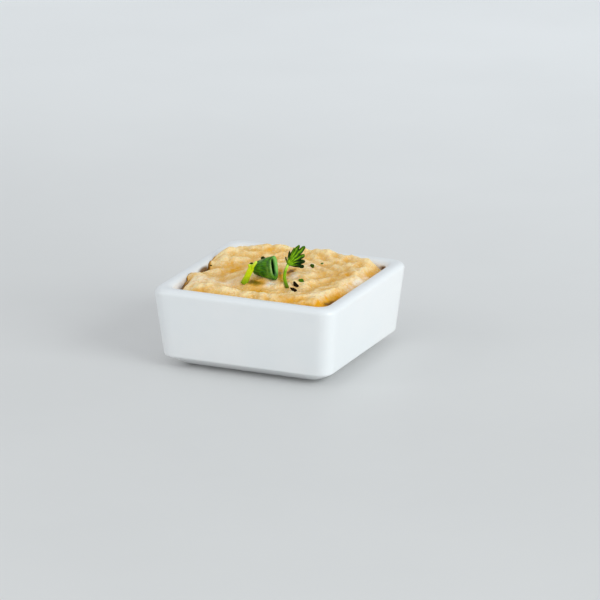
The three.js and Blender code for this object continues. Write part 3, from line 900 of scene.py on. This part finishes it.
@dataclass
class Hummus:
    """The paste in the dish, with the finer unevenness of a spooned surface."""

    dish: SquareDish
    surface: SwirledSurface
    steps: int = 250
    wall_gap: float = 0.05
    floor_gap: float = 0.1
    floor_inset: float = 1
    seam_from: float = 0.9
    lump_sizes: tuple[float, ...] = (6.0, 3.0, 1.5, 0.8)
    lump_heights: tuple[float, ...] = (0.32, 0.32, 0.24, 0.12)
    lump_seed: int = 11
    near: float = 4
    spokes: int = 10
    # Strength of the dark edge along the walls: a stain and painted shade where the paste meets
    # the glaze.
    edge_stain_and_shade: float = 0.7
    edge_width: float = 1.5
    # Gold patches: oiled paste, and also painted shade under the leaf, right of the onion and in
    # the crevices by the walls, and a painted highlight at the end of the back left lobe.
    oil_and_painted_light: tuple[Oval, ...] = (
        Oval("left trough", -22.3, 0.5, 8, 5.4, 66, 1.1),
        Oval("streak below it", -20, -13, 7, 1.5, 10, 0.45),
        Oval("end of the back left lobe", -18, 27, 5.5, 1.6, 65, 1.0),
        Oval("groove in front of the garnish", -1.5, -25, 9, 2, 5, 0.7),
        Oval("right of the onion", 3.6, -7.5, 11, 1.5, 114, 1.3),
        Oval("under the leaf", 4, -1, 9, 3.4, 114, 0.6),
        Oval("middle of the crescent by the stalk", -3.9, -17.2, 3.6, 1.6, 5, 1.0),
        Oval("spot in the right trough", 30, 9.5, 2.6, 1.7, 0, 0.9),
        Oval("right trough", 26, 5, 10, 6, 100, 0.4),
        Oval("line across the front of that trough", 27, -13, 7, 1.4, 30, 0.6),
        Oval("front right corner", 34.6, -31, 8, 1.6, 84, 1.2),
        Oval("by the right wall", 35, -21.5, 10, 1.6, 88, 1.3),
        Oval("right wall, back", 36.2, 18, 7, 1.7, 90, 1.0),
        Oval("front left edge", -29, -35.8, 9, 1.5, 0, 0.9),
        Oval("front right edge", 23, -34.4, 10, 1.8, 0, 0.9),
        Oval("front lumps", 24, -28, 1.6, 2.4, 24, 0.8),
        Oval("front left of them", 1, -25.5, 3.6, 2.6, 10, 0.7),
        Oval("in front of the flakes", 15.3, -32.6, 4, 2, 0, 0.45),
        Oval("under the stalk", -12, -17, 4, 2, 20, 0.5),
        Oval("back right ledge", 23.5, 28.5, 8, 3, 0, 0.3),
        Oval("left of the stalk", -15, -9, 3, 2, 40, 0.4),
    )
    # Dark patches: painted shade in the notch, the crevices by the walls and under the leaf,
    # with some stain.
    brown_stain_and_shade: tuple[Oval, ...] = (
        Oval("notch by the left wall", -37.8, 0.4, 2.4, 2.0, 90, 1.3),
        Oval("left wall, front", -35.8, -27, 6, 1.6, 85, 1.0),
        Oval("front right corner", 36.4, -21.5, 8, 1.5, 88, 0.9),
        Oval("front right rim", 31, -36.6, 7, 1.1, 8, 0.45),
        Oval("end of that rim", 35.4, -29.4, 3.6, 1.1, 77, 0.5),
        Oval("shade under the leaf", 5.0, 0.4, 6.0, 1.6, 96, 1.1),
    )
    # Where the dark edge is left off.
    bare_edge: tuple[Oval, ...] = (
        Oval("right wall", 37.5, 1, 13, 3, 90, 1.4),
    )
    # Wet patches: a stain with painted shade under the onion and the stalk and right of the
    # onion.
    damp_and_shade: tuple[Oval, ...] = (
        Oval("crescent by the stalk", -4.4, -19, 5.0, 3.2, 5, 0.95),
        Oval("its middle", -3.6, -17.2, 3.2, 1.2, 5, -0.4),
        Oval("right of the onion", 2.8, -7, 8.5, 1.3, 114, 0.7),
        Oval("left trough", -13.5, -6.5, 3.0, 2.0, 70, 0.35),
    )
    # Painted highlights: pale patches on crests and slopes that face the light.
    painted_highlights: tuple[Oval, ...] = (
        Oval("right ridge", 37.2, 4.5, 12, 2.4, 86, 0.95),
        Oval("front right knoll", 30, -27, 4.6, 3.4, 25, 0.25),
        Oval("behind the flakes", 15, -18, 4, 3, 0, 0.4),
        Oval("in front of the onion", 3.0, -18.6, 3.4, 2.6, 10, 1.0),
        Oval("right of the stem", 8.8, -6, 4.5, 2.2, 114, 0.8),
        Oval("front left slope", -18, -21, 8, 4, 20, 0.5),
        Oval("front left lobe", -30, -24, 7, 3.5, 60, 0.5),
        Oval("right of the leaf", 8, 14, 5, 6, 0, 0.35),
    )

    def _fine_height(self, x: Array, y: Array) -> Array:
        """Height with lumps and grain."""
        lumps = enumerate(zip(self.lump_sizes, self.lump_heights), self.lump_seed)
        return sum((rise * value_noise(x, y, size, seed) for seed, (size, rise) in lumps),
                   self.surface.height(x, y))

    def _hollow(self, x: Array, y: Array) -> Array:
        """Says how sunk places are against those near them, 0 on a crest and 1 in a hollow; the
        paste paints shade into the hollows by it.
        """
        around = sum(self._fine_height(x + self.near * math.cos(a), y + self.near * math.sin(a))
                     for a in circle(self.spokes)) / self.spokes
        return 0.5 + (around - self._fine_height(x, y)) * 0.5

    def _layers(self, x: Array, y: Array, to_wall: Array) -> dict[Layer, Array]:
        """Works out what the paste's material reads.

        Args:
            x: Places along x.
            y: Places along y.
            to_wall: Their distances from the wall.

        Returns:
            The layers.
        """
        ragged = to_wall + 0.5 * value_noise(x, y, 2.5, 5)
        # The dark edge is a stain and painted shade along the walls.
        stained_and_shaded = self.edge_stain_and_shade * (1 - patches(x, y, self.bare_edge))
        return {
            Layer.HOLLOW_SHADE: self._hollow(x, y),
            Layer.OIL_AND_PAINTED_LIGHT: patches(x, y, self.oil_and_painted_light) * (0.75 + 0.35 * value_noise(x, y, 1.6, 31)),
            Layer.PAINTED_HIGHLIGHTS: patches(x, y, self.painted_highlights) * (0.7 + 0.5 * value_noise(x, y, 2.2, 32)),
            Layer.EDGE_STAIN_AND_SHADE: (stained_and_shaded * (1 - smoothstep(ragged, 0.1, self.edge_width))
                         + patches(x, y, self.brown_stain_and_shade)),
            Layer.DAMP_AND_SHADE: patches(x, y, self.damp_and_shade),
        }

    def build(self, material: Material) -> Piece:
        """Makes the hummus and lets it stand for its solid.

        Args:
            material: The paste.

        Returns:
            The hummus.
        """
        count = self.steps + 1
        spacing = np.linspace(-1, 1, count)
        square = np.column_stack([axis.ravel() for axis in np.meshgrid(spacing, spacing)])
        unit = self.dish.spread(square)
        reach = self.dish.inner_wall_half(np.array(self.surface.wall_level)) - self.wall_gap
        x, y = (unit * reach).T
        z = self._fine_height(x, y)
        outness = np.abs(square).max(axis=1)
        wall = self.dish.inner_wall_half(np.minimum(z, self.dish.height - 1))
        fit = 1 + ((wall - self.wall_gap) / reach - 1) * smoothstep(outness, self.seam_from, 1)
        x, y = x * fit, y * fit
        layers = self._layers(x, y, reach * (1 - outness))
        grid = np.arange(count * count).reshape(count, count)
        corners = (grid[:-1, :-1], grid[:-1, 1:], grid[1:, 1:], grid[1:, :-1])
        faces = np.column_stack([corner.ravel() for corner in corners]).tolist()
        rim = np.concatenate([grid[0, :-1], grid[:-1, -1], grid[-1, :0:-1], grid[:0:-1, 0]])
        points, sides = self._body(np.column_stack([x, y, z]), unit, rim.tolist())
        paste = make_piece("hummus_paste", points, faces + sides, material, layers)
        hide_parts("hummus")
        return paste

    def _body(self, top: Array, unit: Array, rim: list[int]) -> Mesh:
        """Closes the sheet with the sides and bottom that the dish hides.

        Args:
            top: Points of the top, row by row.
            unit: The same points on the rounded square of half side 1.
            rim: Numbers of the points along its edge.

        Returns:
            All the points, and the faces that the sheet lacks.
        """
        dish, edge, count = self.dish, top[rim, 2], len(rim)
        straight = np.minimum(dish.height - dish.lip_inner_radius, edge - 0.2)
        rows = [(dish.inner_wall_half(z) - self.wall_gap, z)
                for z in ((edge + straight) / 2, straight)]
        rows.append((dish.inner_wall_base_half - self.wall_gap, dish.inner_wall_base_height))
        rows.append((dish.floor_half - self.floor_inset, dish.floor_height + self.floor_gap))
        points, faces, previous = [top], [], rim
        for row, (half, z) in enumerate(rows):
            points.append(np.column_stack([unit[rim] * np.reshape(half, (-1, 1)),
                                           np.broadcast_to(z, count)]))
            current = ring(row, count, len(top))
            faces += band(current, previous)
            previous = current
        points.append([[0, 0, rows[-1][1]]])
        faces += fan(previous[::-1], len(top) + len(rows) * count)
        return np.concatenate(points), faces


# ---- the herbs


def smooth_path(corners: list[Point], steps: int) -> Array:
    """Draws a smooth curve through points.

    Args:
        corners: Points that it passes through.
        steps: Steps between neighbouring points.

    Returns:
        Points along the curve.
    """
    known = np.array(corners, dtype=float)
    padded = np.vstack([2 * known[0] - known[1], known, 2 * known[-1] - known[-2]])
    path = [0.5 * (2 * b + (c - a) * t + (2 * a - 5 * b + 4 * c - d) * t * t
                   + (3 * b - a - 3 * c + d) * t ** 3)
            for a, b, c, d in zip(padded, padded[1:], padded[2:], padded[3:])
            for t in np.linspace(0, 1, steps, endpoint=False)]
    return np.array(path + [known[-1]])


def sweep(path: Array, half_width: Array, half_depth: Array, sides: int) -> Mesh:
    """Sweeps an oval along a path and closes its ends.

    Args:
        path: Points along the middle.
        half_width: Half width of the oval at each point.
        half_depth: Half depth of the oval at each point, along FLAT_FACING.
        sides: Points round the oval.

    Returns:
        The points and faces.
    """
    tangents = np.gradient(path, axis=0)
    tangents /= np.linalg.norm(tangents, axis=1, keepdims=True)
    across = np.cross(tangents, np.array(FLAT_FACING))
    across /= np.linalg.norm(across, axis=1, keepdims=True)
    front = np.cross(across, tangents)
    cos, sin = np.cos(circle(sides)), np.sin(circle(sides))
    rings = [middle + width * np.outer(cos, side) + depth * np.outer(sin, ahead)
             for middle, side, ahead, width, depth
             in zip(path, across, front, half_width, half_depth)]
    faces = [face[::-1] for face in capped(len(path), sides)]
    return np.concatenate(rings + [path[:1], path[-1:]]), faces


def join(parts: list[Mesh]) -> Mesh:
    """Puts several meshes into one.

    Args:
        parts: Points and faces of each.

    Returns:
        The points and faces of all.
    """
    faces, start = [], 0
    for points, part_faces in parts:
        faces += [tuple(start + corner for corner in face) for face in part_faces]
        start += len(points)
    return np.concatenate([points for points, _ in parts]), faces


@dataclass(frozen=True)
class Spot:
    """Soft spot on the onion: its place along it and its turn round it, each with its reach."""

    along: float
    length: float
    turn: float
    width: float

    def share(self, along: Array, turns: Array) -> Array:
        """Strength at places, 0 to 1."""
        return bell(turns, self.turn, self.width) * bell(along, self.along, self.length)


@dataclass
class SpringOnion:
    """Short length of flattened, hollow spring onion leaf, its cut end to the right."""

    surface: SwirledSurface
    x: float = -1.2
    y: float = -13.8
    length: float = 10.6
    height: float = 11.6
    width: float = 6.2
    wall: float = 2.1
    squareness: float = 0.8
    taper: float = 0.56
    back_rise: float = 1.0
    slant: float = 0.15
    bore_level: float = -0.6
    bore_lift: float = 0.8
    heading: float = -16
    sink: float = 0.8
    rib_height: float = 0.07
    rib_count: int = 22
    fold_depth: float = 0.5
    fold: Spot = Spot(1.8, 1.5, 3.3, 0.8)
    # Where painted highlights lie on the skin.
    front_sheen: Spot = Spot(3.4, 1.3, 3.3, 0.9)
    top_sheen: Spot = Spot(-1.6, 2.0, 1.9, 0.6)
    pinch_depth: float = 0.175
    sides: int = 120
    rows: int = 44
    end_steps: int = 9

    def _section(self) -> list[Pair]:
        """Goes once round the wall's section.

        Returns:
            Places along the leaf, each with its depth under the skin.
        """
        round_off = self.wall / 2
        ends = self.length / 2 - round_off
        section = [(along, 0.0) for along in np.linspace(-ends, ends, self.rows)]
        angles = np.linspace(0, math.pi, self.end_steps)[1:-1]
        turns = [(round_off * math.sin(a), round_off * (1 - math.cos(a))) for a in angles]
        section += [(ends + reach, depth) for reach, depth in turns]
        section += [(along, self.wall) for along in np.linspace(ends, -ends, self.rows)]
        return section + [(-ends - reach, self.wall - depth) for reach, depth in turns]

    def build(self, material: Material) -> Piece:
        """Makes the onion and lets it stand for its solid.

        Args:
            material: Its skin.

        Returns:
            The onion.
        """
        section, turns = np.array(self._section()), circle(self.sides)
        along, depth = section[:, :1], section[:, 1:]
        inner = depth / self.wall
        skin, back = 1 - inner, 0.5 - along / self.length
        flat, tall = np.cos(turns), np.sin(turns)
        flat_share = np.sign(flat) * np.abs(flat) ** self.squareness
        tall_share = np.sign(tall) * np.abs(tall) ** self.squareness
        taper = 1 + (self.taper - 1) * back
        ribs = self.rib_height * np.cos(turns * self.rib_count + 0.25 * along) * skin
        fold = self.fold_depth * self.fold.share(along, turns)
        pinch = self.pinch_depth * np.sin(along * 0.8 + 0.6) * np.cos(turns * 3 + 0.5) * skin
        grow = ribs - fold * skin + pinch
        level = self.width / 2 - depth + grow
        upright = self.height / 2 * taper - depth + grow
        lowered = self.height / 2 * (1 - taper) - self.back_rise * back
        points = np.stack([
            along * (1 - self.slant * tall_share),
            level * flat_share + self.bore_level * inner,
            upright * tall_share - lowered + self.bore_lift * inner,
        ], axis=-1).reshape(-1, 3)
        cut = np.clip(1.3 - np.abs(along - self.length / 2) / 0.7, 0, 1)
        cut = cut * smoothstep(inner, 0.05, 0.35)
        right = 0.5 + 0.5 * np.tanh(flat * 3)
        left = (1 - right) * bell(tall, 0.05, 0.55)
        # Painted highlights on the front and top of the skin, and on the left of the cut rim.
        painted_sheen = 0.2 * self.front_sheen.share(along, turns)
        painted_sheen = painted_sheen + 0.3 * self.top_sheen.share(along, turns)
        layers = {
            Layer.RIM: cut * right * (0.2 + 0.8 * smoothstep(tall, -0.8, -0.3)),
            Layer.PAINTED_SHEEN: painted_sheen * skin + 0.9 * cut * left,
            # Painted shade inside the bore.
            Layer.INSIDE: np.repeat(inner >= 0.8, self.sides),
        }
        rows = len(section)
        faces = tube(rows, self.sides) + band(ring(rows - 1, self.sides), ring(0, self.sides))
        middle = self.surface.level(self.x, self.y) - self.sink + self.height / 2
        points = turned(points, self.heading) + np.array([self.x, self.y, middle])
        onion = make_piece("spring_onion_leaf", points, faces, material, layers)
        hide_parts("spring_onion")
        return onion


@dataclass
class ForkedStalk:
    """Flat stalk that leans up from the hummus and forks into two tines."""

    surface: SwirledSurface
    base: Pair = (-9.1, -21.0)
    fork: Point = (-6.7, -17.9, 44.5)
    front_tip: Point = (-8.0, -17.7, 46.6)
    back_tip: Point = (-4.2, -17.1, 48.2)
    sink: float = 0.9
    half_width: float = 1.45
    half_depth: float = 0.8
    foot_shares: Pair = (1.05, 0.8)
    tine_shares: Pair = (0.6, 0.4)
    overlap: float = 0.25
    ridge_height: float = 0.04
    ridge_wave: float = 19
    steps: int = 14
    sides: int = 28

    def _bar(self, corners: list[Point], shares: Pair) -> Mesh:
        """Makes one rounded bar through points.

        Args:
            corners: Points of its middle.
            shares: Its half width at its start and end as shares of the stalk's.

        Returns:
            Its points and faces.
        """
        path = smooth_path(corners, self.steps)
        share = np.linspace(0, 1, len(path))
        rounding = np.sqrt(np.clip(1 - np.clip((share - 0.9) / 0.1, 0, 1) ** 2, 0.02, 1))
        start, end = (self.half_width * part for part in shares)
        widths = (start + (end - start) * share) * rounding
        ridges = 1 + self.ridge_height * np.sin(share * self.ridge_wave)
        depths = self.half_depth * rounding * (widths / self.half_width) ** 0.3
        return sweep(path, widths * ridges, depths, self.sides)

    def build(self, material: Material) -> Piece:
        """Makes the stalk and lets it stand for its solid.

        Args:
            material: Its skin.

        Returns:
            The stalk.
        """
        foot = (*self.base, self.surface.level(*self.base) + self.half_depth - self.sink)
        beyond = tuple(f + self.overlap * (b - f) for f, b in zip(self.fork, self.back_tip))
        points, faces = join([
            self._bar([foot, self.fork, beyond], self.foot_shares),
            self._bar([self.fork, self.front_tip], self.tine_shares),
            self._bar([self.fork, self.back_tip], self.tine_shares),
        ])
        reach = (points[:, 2] - foot[2]) / (self.back_tip[2] - foot[2])
        stalk = make_piece("stalk_forked", points, faces, material, {Layer.REACH: reach})
        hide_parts("forked_stalk")
        return stalk


@dataclass(frozen=True)
class Finger:
    """One pointed finger of the parsley leaf: its turn and spread in degrees, and the painted
    shade it gets.
    """

    turn: float
    length: float
    spread: float
    shade: float


@dataclass
class ParsleySprig:
    """Bent parsley stem with one leaf, spread like a hand, at its top."""

    surface: SwirledSurface
    base: Pair = (11.4, -18.2)
    bends: tuple[Point, ...] = ((9.7, -16.3, 39.7), (8.2, -14.0, 41.3), (7.3, -11.1, 43.2))
    crown: Point = (7.1, -8.0, 45.1)
    sink: float = 0.5
    stem_radius: float = 0.76
    stem_foot: float = 1.15
    stem_taper: float = 0.35
    stem_steps: int = 16
    stem_sides: int = 24
    rise: float = 50
    heading: float = 113.8
    hub: float = 0.75
    web: float = 6.2
    thickness: float = 0.5
    vein_width: float = 2.2
    crease_width: float = 4.5
    crease_depth: float = 0.55
    ripple: float = 0.25
    fingers: tuple[Finger, ...] = (
        Finger(-12, 4.6, 10, 1.0),
        Finger(7, 7.6, 9, 0.9),
        Finger(18, 9.6, 9, 0.25),
        Finger(26, 12.05, 10, 0.15),
        Finger(37, 13.1, 10, 0.2),
        Finger(51, 9.9, 13, 0.0),
        Finger(67, 8.6, 14, 0.95),
        Finger(84, 7.6, 14, 1.0),
    )
    web_from: float = -4
    web_to: float = 96
    angles: int = 420
    rings: int = 26

    def _near(self, turn: Array, width: float) -> Array:
        """Says how near directions are to the fingers' middles, by a width in degrees."""
        return sum(bell(turn, finger.turn, width) for finger in self.fingers)

    def _reach(self, turn: Array) -> Array:
        """Distance from the crown to the leaf's edge.

        Args:
            turn: Degrees from straight up, to the right.

        Returns:
            Distances in millimetres.
        """
        middle, half = (self.web_from + self.web_to) / 2, (self.web_to - self.web_from) / 2
        off = np.clip(np.abs(turn - middle) / half, 0, 1)
        edge = np.maximum(self.hub, self.web * np.sqrt(1 - off ** 4))
        for finger in self.fingers:
            share = np.clip(np.abs(turn - finger.turn) / finger.spread, 0, 1)
            edge = np.maximum(edge, finger.length * (1 - share ** 2.2) ** 0.7)
        return edge

    def _shade(self, turn: Array, share: Array) -> Array:
        """How much painted shade the leaf gets, on fingers that face away and in the grooves
        between them.

        Args:
            turn: Degrees from straight up, to the right.
            share: Share of the way from the crown to the edge.

        Returns:
            Shares.
        """
        total, weight = np.zeros_like(turn), np.full_like(turn, 1e-6)
        for finger in self.fingers:
            near = bell(turn, finger.turn, finger.spread * 0.75)
            total, weight = total + near * finger.shade, weight + near
        between = 1 - np.clip(self._near(turn, self.crease_width), 0, 1)
        groove = 0.8 * between * smoothstep(share, 0.25, 0.6)
        return total / weight * smoothstep(share, 0.3, 0.75) + groove

    def _leaf(self) -> tuple[Array, list, dict[Layer, Array]]:
        """Makes the leaf as a thin closed body whose two faces follow each other.

        Returns:
            Its points, faces and layers.
        """
        turn = np.linspace(-180, 180, self.angles, endpoint=False)
        # Most of the points go where the fingers are
        turn = np.sort(np.where(turn > -90, -40 + (turn + 90) * 150 / 270, turn * 2 + 140))
        share = np.linspace(0, 1, self.rings + 1)[1:] ** 0.85
        turns, shares = (grid.ravel() for grid in np.meshgrid(turn, share))
        distance = self._reach(turns) * shares
        right, up = distance * np.sin(np.radians(turns)), distance * np.cos(np.radians(turns))
        bend = -0.05 * (right - up * 0.55) ** 2 - 0.012 * distance ** 2
        crease = self._near(turns, self.crease_width) - 0.5
        bend = bend + self.crease_depth * crease * np.clip(distance / 8, 0, 1)
        bend = bend + self.ripple * np.sin(right * 1.7 + up * 0.9)
        half = self.thickness / 2 * (1 - 0.75 * shares ** 6)
        count, columns, last = len(turns), self.angles, self.rings - 1
        flat = np.concatenate([
            np.column_stack([right, up, bend + half]), np.column_stack([right, up, bend - half]),
            [[0, 0, self.thickness / 2], [0, 0, -self.thickness / 2]],
        ])
        faces = tube(self.rings, columns)
        faces += [tuple(corner + count for corner in face[::-1]) for face in faces]
        faces += band(ring(last, columns), ring(last, columns, count))
        faces += fan(ring(0, columns)[::-1], 2 * count)
        faces += fan(ring(0, columns, count), 2 * count + 1)
        vein = self._near(turns, self.vein_width) * 0.8 * (1 - 0.5 * shares) + 0.5 * (1 - shares)
        layers = {Layer.VEIN: vein, Layer.SHADE: self._shade(turns, shares)}
        layers = {layer: np.concatenate([v, v, v[:1], v[:1]]) for layer, v in layers.items()}
        points = turned(flat, self.heading - 90, lean=self.rise) + np.array(self.crown)
        return points, faces, layers

    def build(self, leaf_material: Material, stem_material: Material) -> list[Piece]:
        """Makes the leaf and the stem and lets them stand for the sprig's solid.

        Args:
            leaf_material: Skin of the leaf.
            stem_material: Skin of the stem.

        Returns:
            The leaf and the stem.
        """
        points, faces, layers = self._leaf()
        leaf = make_piece("parsley_leaf", points, faces, leaf_material, layers)
        foot = (*self.base, self.surface.level(*self.base) + self.stem_radius - self.sink)
        path = smooth_path([foot, *self.bends, self.crown], self.stem_steps)
        share = np.linspace(0, 1, len(path))
        radius = self.stem_radius * (self.stem_foot - self.stem_taper * share)
        points, faces = sweep(path, radius, radius, self.stem_sides)
        reach = (points[:, 2] - foot[2]) / (self.crown[2] - foot[2])
        stem = make_piece("parsley_stem", points, faces, stem_material, {Layer.REACH: reach})
        for piece in (leaf, stem):
            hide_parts("parsley_sprig")
        return [leaf, stem]


@dataclass(frozen=True)
class Flake:
    """One snipped herb flake: place, size, heading, nose-down pitch, lean and darkness."""

    x: float
    y: float
    length: float
    width: float
    heading: float
    pitch: float
    lean: float
    shade: float


@dataclass
class HerbFlakes:
    """Snipped herb flakes that stick in the hummus."""

    surface: SwirledSurface
    thickness: float = 0.8
    sink: float = 0.25
    flakes: tuple[Flake, ...] = (
        Flake(9.5, 14.5, 2.2, 1.8, 24, 50, 50, 0.6),
        Flake(14.7, -9.8, 2.7, 2.0, 24, 32, 50, 0.1),
        Flake(14.1, -14.6, 3.7, 1.8, 24, 48, 50, 1.0),
        Flake(15.5, -20.1, 3.6, 1.9, 24, 36, 50, 1.0),
        Flake(11.3, 21.8, 1.6, 0.8, 24, 5, 30, 0.15),
        Flake(-16.4, 16.6, 2.4, 1.9, 20, -25, 50, 0.8),
        Flake(-18.5, 8.9, 2.0, 1.3, 15, 10, 30, 0.6),
        Flake(-36.9, 4.8, 1.7, 1.1, 70, 20, 30, 0.7),
    )
    notches: tuple[tuple[int, float], ...] = ((3, 0.12), (5, 0.07))
    bend: float = 0.12
    sides: int = 22
    rings: int = 11
    vein: float = 0.2
    seed: int = 8

    def _flake(self, flake: Flake, draw: np.random.Generator) -> Mesh:
        """Makes one ragged, slightly bent flake in its place.

        Args:
            flake: The flake.
            draw: Source of its ragged edge.

        Returns:
            Its points and faces.
        """
        turns, half = circle(self.sides), self.thickness / 2
        ragged = 1 + sum(size * np.cos(count * turns + draw.uniform(0, 6))
                         for count, size in self.notches)
        rings = [np.column_stack([
            flake.length / 2 * math.sin(a) ** 0.6 * ragged * np.cos(turns),
            flake.width / 2 * math.sin(a) ** 0.6 * ragged * np.sin(turns),
            np.full(self.sides, half * math.cos(a)),
        ]) for a in np.linspace(0, math.pi, self.rings + 2)[1:-1]]
        points = np.concatenate(rings + [[[0, 0, half], [0, 0, -half]]])
        points[:, 2] += self.bend * np.sin(points[:, 0] * 2.2)
        faces = [face[::-1] for face in capped(self.rings, self.sides)]
        lift = abs(math.sin(math.radians(flake.pitch))) * flake.length * 0.3
        lift += math.sin(math.radians(flake.lean)) * flake.width * 0.2
        z = self.surface.level(flake.x, flake.y) + lift - self.sink
        points = turned(points, flake.heading, flake.pitch, flake.lean)
        return points + np.array([flake.x, flake.y, z]), faces

    def build(self, material: Material) -> Piece:
        """Makes the flakes, which the hummus's solid holds as bumps.

        Args:
            material: Their skin.

        Returns:
            The flakes.
        """
        draw = np.random.default_rng(self.seed)
        parts = [self._flake(flake, draw) for flake in self.flakes]
        points, faces = join(parts)
        shade = np.repeat([flake.shade for flake in self.flakes], len(parts[0][0]))
        flakes = make_piece("herb_flakes", points, faces, material, {
            Layer.SHADE: shade, Layer.VEIN: np.full(len(shade), self.vein)})
        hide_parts("hummus")
        return flakes


# ---- the studio


@dataclass(frozen=True)
class Softbox:
    """Square softbox: its middle and side in millimetres, its power in watts and its colour."""

    name: str
    middle: Point
    side: float
    power: float
    colour: Colour

    def add(self, aim: float) -> None:
        """Adds it, facing a height over the middle of the table.

        Args:
            aim: The height in millimetres.
        """
        data = bpy.data.lights.new(self.name, "AREA")
        data.size = self.side * MM
        data.energy = self.power
        data.color = self.colour
        light = bpy.data.objects.new(self.name, data)
        light.location = Vector(self.middle) * MM
        way = Vector((0, 0, aim * MM)) - light.location
        light.rotation_euler = way.to_track_quat("-Z", "Y").to_euler()
        bpy.context.scene.collection.objects.link(light)


@dataclass
class Studio:
    """Pale table, soft light from the right and the camera."""

    elevation: float = 17.02
    azimuth: float = 23.82
    distance: float = 2568
    aim_right: float = 8.87
    aim_up: float = 24.43
    lens: float = 336
    sensor: float = 36
    sight: float = 20000
    table_reach: float = 6000
    light_aim: float = 30
    softboxes: tuple[Softbox, ...] = (
        Softbox("key", (2500, -760, 1050), 1800, 45, (0.92, 0.99, 1.0)),
        Softbox("left window", (-1900, -1800, 1200), 1600, 12.5, (0.95, 0.99, 1.0)),
    )
    room: Colour = (0.93, 0.97, 1.0)
    room_strength: float = 0.68

    def place_camera(self) -> None:
        """Makes the camera and looks through it."""
        data = bpy.data.cameras.new("camera")
        data.lens = self.lens
        data.sensor_width = self.sensor
        data.clip_end = self.sight * MM
        camera = bpy.data.objects.new("camera", data)
        turn = Matrix.Rotation(math.radians(self.azimuth), 4, "Z")
        tilt = Matrix.Rotation(math.radians(90 - self.elevation), 4, "X")
        place = Vector((self.aim_right, self.aim_up, self.distance)) * MM
        camera.matrix_world = turn @ tilt @ Matrix.Translation(place)
        bpy.context.scene.collection.objects.link(camera)
        bpy.context.scene.camera = camera

    def place_table(self, material: Material) -> None:
        """Lays the table.

        Args:
            material: Its surface.
        """
        reach = self.table_reach * MM
        corners = [(x * reach, y * reach, 0) for x, y in ((-1, -1), (1, -1), (1, 1), (-1, 1))]
        mesh = bpy.data.meshes.new("table")
        mesh.from_pydata(corners, [], [(0, 1, 2, 3)])
        mesh.materials.append(material)
        table = bpy.data.objects.new("table", mesh)
        bpy.context.scene.collection.objects.link(table)

    def light(self) -> None:
        """Sets the softboxes and the even light of the room."""
        for softbox in self.softboxes:
            softbox.add(self.light_aim)
        world = bpy.data.worlds.new("room")
        world.use_nodes = True
        background = world.node_tree.nodes["Background"]
        background.inputs["Color"].default_value = (*self.room, 1)
        background.inputs["Strength"].default_value = self.room_strength
        bpy.context.scene.world = world
        bpy.context.scene.view_settings.view_transform = "Standard"


def main() -> None:
    """Builds the dish, the hummus, the herbs and the studio."""
    logging.basicConfig(level=logging.INFO, format="%(name)s: %(message)s")
    studio = Studio()
    studio.place_camera()
    studio.place_table(TableTop().build())
    studio.light()
    dish = SquareDish()
    surface = SwirledSurface(dish)
    stalk = StalkSkin("stalk_skin", linear(128, 160, 0), linear(200, 216, 0),
                      linear(224, 246, 92))
    leaf = LeafSkin("parsley_leaf", linear(160, 208, 18), linear(54, 120, 0), linear(8, 38, 0))
    stem = StalkSkin("parsley_stem", linear(88, 116, 0), linear(128, 176, 6),
                     linear(196, 236, 80))
    flake = LeafSkin("herb_flake", linear(110, 140, 20), linear(64, 112, 8), linear(26, 14, 0),
                     0.75, 0.06)
    pieces = [
        dish.build(Porcelain().build()),
        Hummus(dish, surface).build(HummusPaste().build()),
        SpringOnion(surface).build(OnionSkin().build()),
        ForkedStalk(surface).build(stalk.build()),
        *ParsleySprig(surface).build(leaf.build(), stem.build()),
        HerbFlakes(surface).build(flake.build()),
    ]
    for piece in pieces:
        log.info("%s: %d faces", piece.name, len(piece.data.polygons))


if __name__ == "__main__":
    main()
